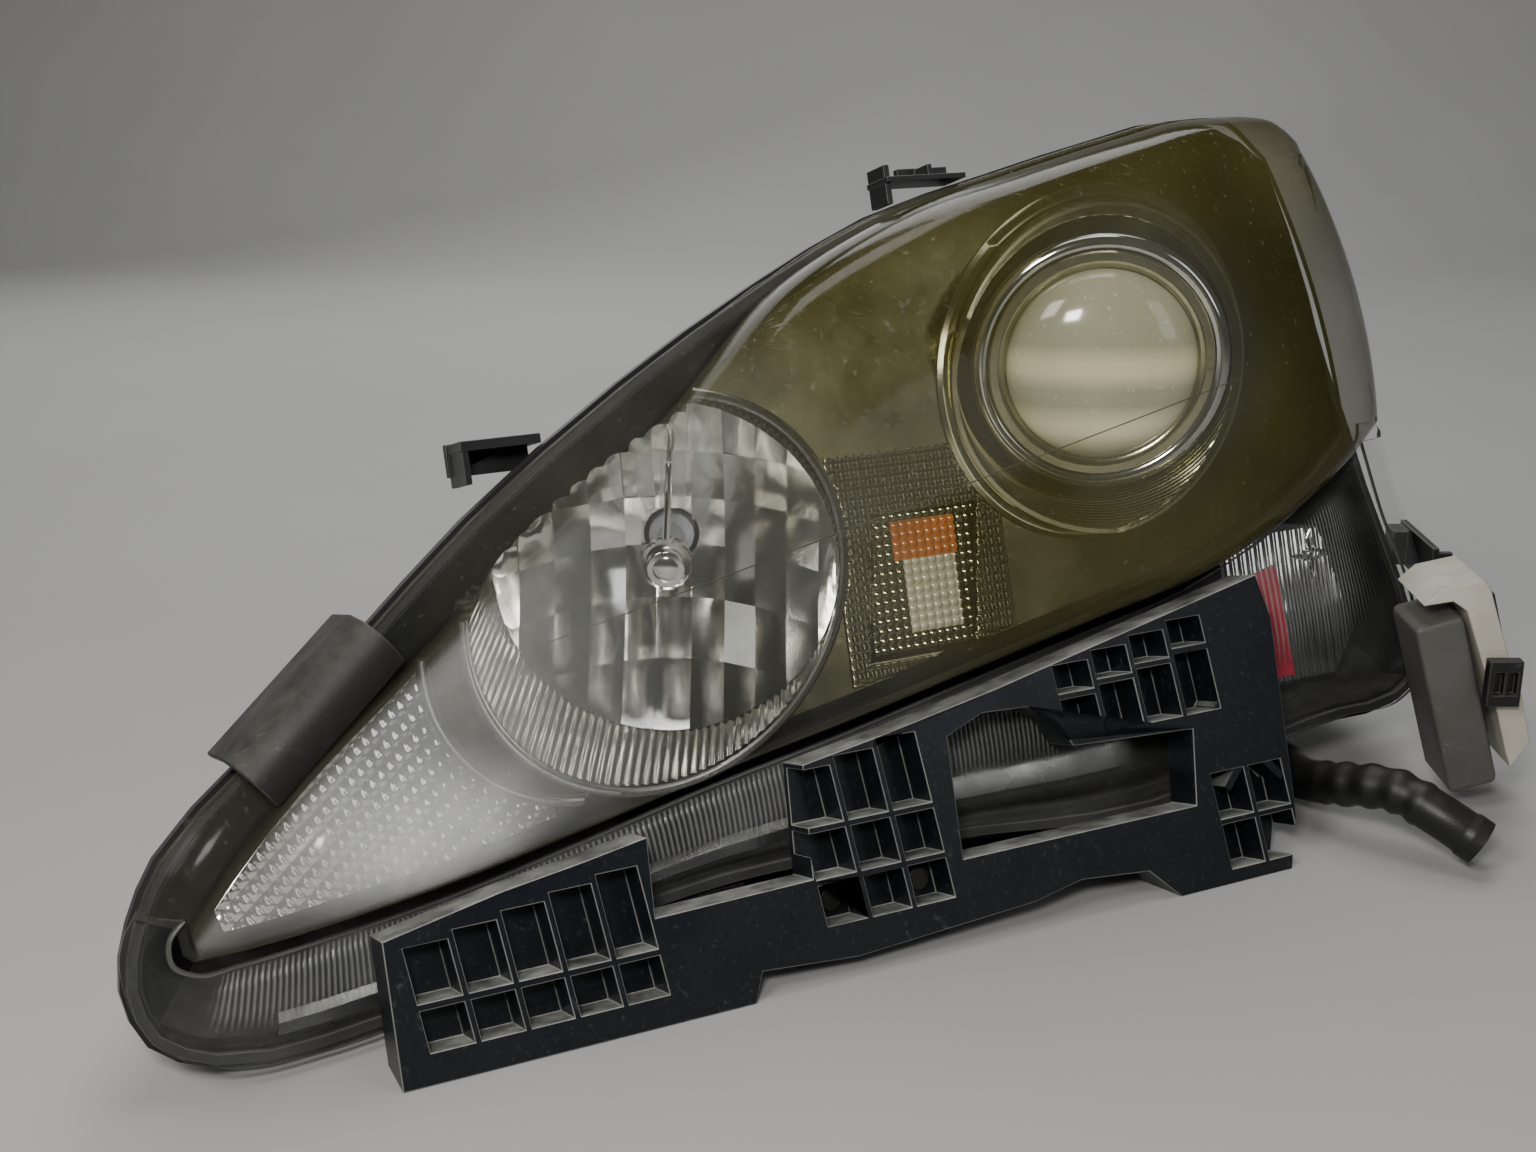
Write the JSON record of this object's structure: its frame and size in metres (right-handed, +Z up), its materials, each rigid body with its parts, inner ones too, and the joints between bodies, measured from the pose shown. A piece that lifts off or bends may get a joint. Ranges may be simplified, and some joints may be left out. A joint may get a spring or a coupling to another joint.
{
  "type": "car headlight assembly",
  "caption": "Left-hand swept projector headlight with yellowed lens, reflector bowls, low beam projector, ribbed bumper bracket, rear covers, ballast and side connector.",
  "frame": {"origin": "middle of the base, on the surface it stands on", "axes": "+X towards the outboard end along the longest side, -Y out of the lens, +Z up"},
  "size_m": [0.5397, 0.4158, 0.2878],
  "materials": {
    "aged_lens": "yellowed, hazed clear polycarbonate with a worn hard coat",
    "clear_lens": "clear polycarbonate with moulded flutes",
    "sealant": "black butyl bead",
    "housing_plastic": "fine grained black moulding",
    "bezel_plastic": "dark metallised moulding",
    "metallised_reflector": "vacuum metallised mirror finish on plastic",
    "cast_reflector": "bright cast bowl",
    "cast_case": "as-cast case",
    "steel_parts": "zinc plated",
    "projector_glass": "clear optical glass, slightly clouded",
    "bulb_glass": "clear",
    "amber_glass": "amber coated",
    "pixel_optic": "clear optic with a fine pillow grid",
    "red_plastic": "red retro-reflector",
    "bracket_plastic": "blue-black moulding with dusty edges",
    "scuffed_plastic": "scuffed dark grey moulding",
    "white_nylon": "natural nylon",
    "grey_nylon": "grey nylon",
    "ivory_nylon": "ivory nylon",
    "black_rubber": "matt rubber",
    "black_plastic": "black moulding"
  },
  "bodies": {
    "lamp_body": {"ballast": "cast_case", "ballast_gasket": "black_rubber", "ballast_screw_1": "steel_parts", "ballast_screw_2": "steel_parts", "bracket_screw_1": "steel_parts", "bracket_screw_2": "steel_parts", "bulb_shield": "metallised_reflector", "bumper_bracket": "bracket_plastic", "connector_body": "grey_nylon", "connector_carrier": "black_plastic", "high_beam_bulb": "bulb_glass", "high_beam_reflector": "metallised_reflector", "high_beam_seal": "black_rubber", "housing": "housing_plastic", "inner_bezel": "bezel_plastic", "inner_bracket": "scuffed_plastic", "lens_sealant": "sealant", "levelling_motor": "black_plastic", "low_beam_seal": "black_rubber", "lower_lens": "clear_lens", "marker_reflector": "metallised_reflector", "outer_lens": "aged_lens", "pivot_post_inboard": "black_plastic", "pivot_post_outboard": "black_plastic", "projector_shroud": "bezel_plastic", "red_reflector": "red_plastic", "rubber_boot": "black_rubber", "side_reflector_bowl": "metallised_reflector", "side_stay": "black_plastic", "tip_reflector": "metallised_reflector", "top_clip": "black_plastic", "trim_rail": "metallised_reflector", "turn_optic": "pixel_optic", "turn_reflector": "metallised_reflector", "upper_tab": "black_plastic", "vent_spigot": "black_plastic"},
    "tilt_frame": {"aiming_frame": "black_plastic", "tilt_pin_inboard": "steel_parts", "tilt_pin_outboard": "steel_parts"},
    "low_beam_unit": {"projector_lens": "projector_glass", "lens_holder": "black_plastic", "projector_ring": "metallised_reflector", "projector_reflector": "cast_reflector", "cutoff_shade": "steel_parts", "discharge_bulb": "bulb_glass", "bulb_igniter": "black_plastic", "pan_pin_upper": "steel_parts", "pan_pin_lower": "steel_parts"},
    "levelling_rod": {"levelling_rod": "white_nylon"},
    "vertical_adjuster": {"vertical_adjuster": "white_nylon"},
    "horizontal_adjuster": {"horizontal_adjuster": "white_nylon"},
    "low_beam_cover": {"low_beam_cover": "black_plastic"},
    "high_beam_cover": {"high_beam_cover": "black_plastic"},
    "turn_lamp_socket": {"turn_socket": "black_plastic", "turn_bulb": "amber_glass"},
    "marker_lamp_socket": {"marker_socket": "black_plastic", "marker_bulb": "bulb_glass"},
    "connector_lever": {"connector_lever": "ivory_nylon", "connector_latch": "black_plastic"}
  },
  "joints": [
    {"name": "projector_tilt", "type": "hinge", "parent": "lamp_body", "child": "tilt_frame", "pos_m": [0.0719, 0.0927, 0.225], "axis": [1, 0, 0], "range_deg": [-2.5, 2.5]},
    {"name": "projector_pan", "type": "hinge", "parent": "tilt_frame", "child": "low_beam_unit", "pos_m": [0.0719, 0.0927, 0.1958], "axis": [0, 0, 1], "range_deg": [-2.5, 2.5]},
    {"name": "levelling_slide", "type": "slide", "parent": "lamp_body", "child": "levelling_rod", "axis": [0, 1, 0], "range_m": [-0.006, 0.006]},
    {"name": "vertical_screw_turn", "type": "hinge", "parent": "lamp_body", "child": "vertical_adjuster", "pos_m": [0.1345, 0.1647, 0.125], "axis": [0, 1, 0], "range_deg": [-180, 180]},
    {"name": "horizontal_screw_turn", "type": "hinge", "parent": "lamp_body", "child": "horizontal_adjuster", "pos_m": [0.0055, 0.1157, 0.205], "axis": [0, 1, 0], "range_deg": [-180, 180]},
    {"name": "low_beam_cover_twist", "type": "hinge", "parent": "lamp_body", "child": "low_beam_cover", "pos_m": [0.0719, 0.1663, 0.1958], "axis": [0, 1, 0], "range_deg": [0, 30]},
    {"name": "high_beam_cover_twist", "type": "hinge", "parent": "lamp_body", "child": "high_beam_cover", "pos_m": [-0.0985, 0.0983, 0.133], "axis": [0, 1, 0], "range_deg": [0, 30]},
    {"name": "turn_socket_twist", "type": "hinge", "parent": "lamp_body", "child": "turn_lamp_socket", "pos_m": [-0.0005, 0.1105, 0.122], "axis": [0, 1, 0], "range_deg": [0, 45]},
    {"name": "marker_socket_twist", "type": "hinge", "parent": "lamp_body", "child": "marker_lamp_socket", "pos_m": [0.1715, 0.17586, 0.078], "axis": [0, 1, 0], "range_deg": [0, 45]},
    {"name": "connector_lever_swing", "type": "hinge", "parent": "lamp_body", "child": "connector_lever", "pos_m": [0.2555, 0.0257, 0.03], "axis": [0, 1, 0], "range_deg": [0, 50]}
  ],
  "couplings": [
    {"joint": "levelling_slide", "follows": "projector_tilt", "m_per_rad": 0.13},
    {"joint": "vertical_screw_turn", "follows": "projector_tilt", "ratio": 72},
    {"joint": "horizontal_screw_turn", "follows": "projector_pan", "ratio": 72}
  ]
}
